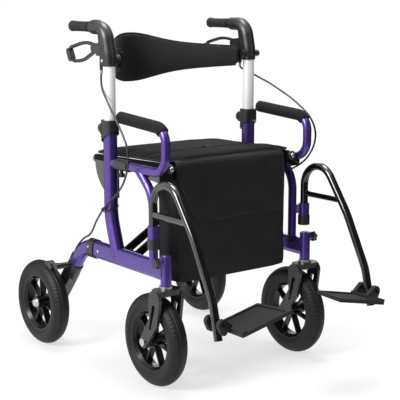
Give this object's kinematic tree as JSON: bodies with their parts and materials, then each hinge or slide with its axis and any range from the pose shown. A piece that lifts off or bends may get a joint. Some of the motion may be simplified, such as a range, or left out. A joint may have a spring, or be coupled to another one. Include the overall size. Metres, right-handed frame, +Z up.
{
  "type": "rollator transport chair",
  "caption": "Folding rollator that doubles as a transport chair: push handles with loop brakes, padded seat, back strap, bag, armrests, swivel casters and swing-away footrests.",
  "frame": {"origin": "middle of the chair's box, on the floor under the wheels", "axes": "+Z up, -Y to the front where the casters and footrests are, +X to the sitter's left"},
  "size_m": [0.593, 0.9158, 0.8801],
  "materials": {
    "frame_purple": "metallic gloss",
    "tube_silver": "satin",
    "black_metal": "satin black",
    "black_plastic": "fine grain",
    "steel": "plated",
    "foam": "matt foam",
    "grip_rubber": "matt",
    "tyre_rubber": "matt",
    "cloth": "woven"
  },
  "bodies": {
    "right_side": {"right_lower_rail": "frame_purple", "right_upright": "frame_purple", "right_armrest_tube": "frame_purple", "right_armrest_pad": "foam", "right_sleeves": "black_plastic", "right_height_collar": "black_plastic", "right_rear_leg": "frame_purple", "right_wheel_bracket": "black_plastic", "right_rear_axle": "steel", "right_brake_cable": "black_plastic", "right_frame_brackets": "black_metal", "bag": "cloth"},
    "fold_a": {"fold_bar_a": "black_metal", "fold_bolt": "steel"},
    "fold_b": {"fold_bar_b": "black_metal", "seat": "cloth"},
    "left_side": {"left_lower_rail": "frame_purple", "left_upright": "frame_purple", "left_armrest_tube": "frame_purple", "left_armrest_pad": "foam", "left_sleeves": "black_plastic", "left_height_collar": "black_plastic", "left_rear_leg": "frame_purple", "left_wheel_bracket": "black_plastic", "left_rear_axle": "steel", "left_brake_cable": "black_plastic", "left_frame_brackets": "black_metal"},
    "right_handle": {"right_handle_tube": "tube_silver", "right_handle_body": "black_plastic", "right_grip": "grip_rubber"},
    "right_lever": {"right_brake_lever": "black_plastic"},
    "right_shoe": {"right_brake_shoe": "black_plastic"},
    "right_rear_wheel": {"right_rear_rim": "black_plastic", "right_rear_tyre": "tyre_rubber"},
    "right_caster": {"right_caster_fork": "black_plastic", "right_caster_hardware": "steel"},
    "right_front_wheel": {"right_front_rim": "black_plastic", "right_front_tyre": "tyre_rubber"},
    "right_footrest": {"right_hanger": "black_metal"},
    "right_plate": {"right_footplate": "black_plastic"},
    "right_height_screw": {"right_height_knob": "black_plastic"},
    "right_caster_lock": {"right_caster_knob": "black_plastic"},
    "left_handle": {"left_handle_tube": "tube_silver", "left_handle_body": "black_plastic", "left_grip": "grip_rubber"},
    "left_lever": {"left_brake_lever": "black_plastic"},
    "left_shoe": {"left_brake_shoe": "black_plastic"},
    "left_rear_wheel": {"left_rear_rim": "black_plastic", "left_rear_tyre": "tyre_rubber"},
    "left_caster": {"left_caster_fork": "black_plastic", "left_caster_hardware": "steel"},
    "left_front_wheel": {"left_front_rim": "black_plastic", "left_front_tyre": "tyre_rubber"},
    "left_footrest": {"left_hanger": "black_metal"},
    "left_plate": {"left_footplate": "black_plastic"},
    "left_height_screw": {"left_height_knob": "black_plastic"},
    "left_caster_lock": {"left_caster_knob": "black_plastic"},
    "backrest": {"backrest_pad": "cloth", "right_backrest_bracket": "black_plastic"},
    "backrest_left_end": {"left_backrest_bracket": "black_plastic"}
  },
  "joints": [
    {"name": "fold", "type": "hinge", "parent": "right_side", "child": "fold_a", "pos_m": [-0.192, 0.02489, 0.298], "axis": [0, -1, 0], "range_deg": [0, 26], "deforming": ["seat", "bag", "backrest_pad"]},
    {"name": "fold_cross", "type": "hinge", "parent": "fold_a", "child": "fold_b", "pos_m": [0, 0.02489, 0.4135], "axis": [0, -1, 0], "range_deg": [-52.5, 0.5]},
    {"name": "fold_left", "type": "hinge", "parent": "fold_b", "child": "left_side", "pos_m": [0.192, 0.02489, 0.298], "axis": [0, -1, 0], "range_deg": [-0.5, 26.5]},
    {"name": "right_handle_height", "type": "slide", "parent": "right_side", "child": "right_handle", "axis": [0, 0, 1], "range_m": [-0.06, 0.06], "deforming": ["right_brake_cable"]},
    {"name": "right_brake", "type": "hinge", "parent": "right_handle", "child": "right_lever", "pos_m": [-0.223, 0.11889, 0.81], "axis": [1, 0, 0], "range_deg": [0, 16], "stiffness_Nm_per_rad": 0.8, "springref_deg": -11.46},
    {"name": "right_brake_shoe_swing", "type": "hinge", "parent": "right_side", "child": "right_shoe", "pos_m": [-0.268, 0.25177, 0.23163], "axis": [-1, 0, 0], "range_deg": [-0.3, 3]},
    {"name": "right_rear_wheel_spin", "type": "hinge", "parent": "right_side", "child": "right_rear_wheel", "pos_m": [-0.268, 0.34289, 0.115], "axis": [1, 0, 0], "continuous": true},
    {"name": "right_caster_swivel", "type": "hinge", "parent": "right_side", "child": "right_caster", "pos_m": [-0.223, -0.17011, 0.296], "axis": [0, 0, 1], "continuous": true},
    {"name": "right_front_wheel_spin", "type": "hinge", "parent": "right_caster", "child": "right_front_wheel", "pos_m": [-0.223, -0.12511, 0.115], "axis": [1, 0, 0], "continuous": true},
    {"name": "right_footrest_swing", "type": "hinge", "parent": "right_side", "child": "right_footrest", "pos_m": [-0.241, -0.14511, 0.388], "axis": [0, 0, -1], "range_deg": [0, 90]},
    {"name": "right_footplate_flip", "type": "hinge", "parent": "right_footrest", "child": "right_plate", "pos_m": [-0.241, -0.38489, 0.222], "axis": [0, -1, 0], "range_deg": [0, 78]},
    {"name": "right_height_knob_turn", "type": "hinge", "parent": "right_side", "child": "right_height_screw", "pos_m": [-0.223, 0.09789, 0.612], "axis": [0, 1, 0], "continuous": true},
    {"name": "right_caster_knob_turn", "type": "hinge", "parent": "right_side", "child": "right_caster_lock", "pos_m": [-0.248, -0.17011, 0.317], "axis": [1, 0, 0], "continuous": true},
    {"name": "left_handle_height", "type": "slide", "parent": "left_side", "child": "left_handle", "axis": [0, 0, 1], "range_m": [-0.06, 0.06], "deforming": ["left_brake_cable"]},
    {"name": "left_brake", "type": "hinge", "parent": "left_handle", "child": "left_lever", "pos_m": [0.223, 0.11889, 0.81], "axis": [1, 0, 0], "range_deg": [0, 16], "stiffness_Nm_per_rad": 0.8, "springref_deg": -11.46},
    {"name": "left_brake_shoe_swing", "type": "hinge", "parent": "left_side", "child": "left_shoe", "pos_m": [0.268, 0.25177, 0.23163], "axis": [-1, 0, 0], "range_deg": [-0.3, 3]},
    {"name": "left_rear_wheel_spin", "type": "hinge", "parent": "left_side", "child": "left_rear_wheel", "pos_m": [0.268, 0.34289, 0.115], "axis": [1, 0, 0], "continuous": true},
    {"name": "left_caster_swivel", "type": "hinge", "parent": "left_side", "child": "left_caster", "pos_m": [0.223, -0.17011, 0.296], "axis": [0, 0, 1], "continuous": true},
    {"name": "left_front_wheel_spin", "type": "hinge", "parent": "left_caster", "child": "left_front_wheel", "pos_m": [0.223, -0.12511, 0.115], "axis": [1, 0, 0], "continuous": true},
    {"name": "left_footrest_swing", "type": "hinge", "parent": "left_side", "child": "left_footrest", "pos_m": [0.241, -0.14511, 0.388], "axis": [0, 0, 1], "range_deg": [0, 90]},
    {"name": "left_footplate_flip", "type": "hinge", "parent": "left_footrest", "child": "left_plate", "pos_m": [0.241, -0.38489, 0.222], "axis": [0, 1, 0], "range_deg": [0, 78]},
    {"name": "left_height_knob_turn", "type": "hinge", "parent": "left_side", "child": "left_height_screw", "pos_m": [0.223, 0.09789, 0.612], "axis": [0, 1, 0], "continuous": true},
    {"name": "left_caster_knob_turn", "type": "hinge", "parent": "left_side", "child": "left_caster_lock", "pos_m": [0.248, -0.17011, 0.317], "axis": [1, 0, 0], "continuous": true},
    {"name": "backrest_flip", "type": "hinge", "parent": "right_handle", "child": "backrest", "pos_m": [-0.2025, 0.06489, 0.784], "axis": [1, 0, 0], "range_deg": [0, 180]},
    {"name": "backrest_flip_left", "type": "hinge", "parent": "left_handle", "child": "backrest_left_end", "pos_m": [0.2025, 0.06489, 0.784], "axis": [1, 0, 0], "range_deg": [-1, 181]}
  ],
  "couplings": [
    {"joint": "fold_cross", "follows": "fold", "ratio": -2},
    {"joint": "fold_left", "follows": "fold", "ratio": 1},
    {"joint": "right_brake_shoe_swing", "follows": "right_brake", "ratio": 0.18},
    {"joint": "left_brake_shoe_swing", "follows": "left_brake", "ratio": 0.18},
    {"joint": "left_handle_height", "follows": "right_handle_height", "ratio": 1},
    {"joint": "backrest_flip_left", "follows": "backrest_flip", "ratio": 1}
  ]
}
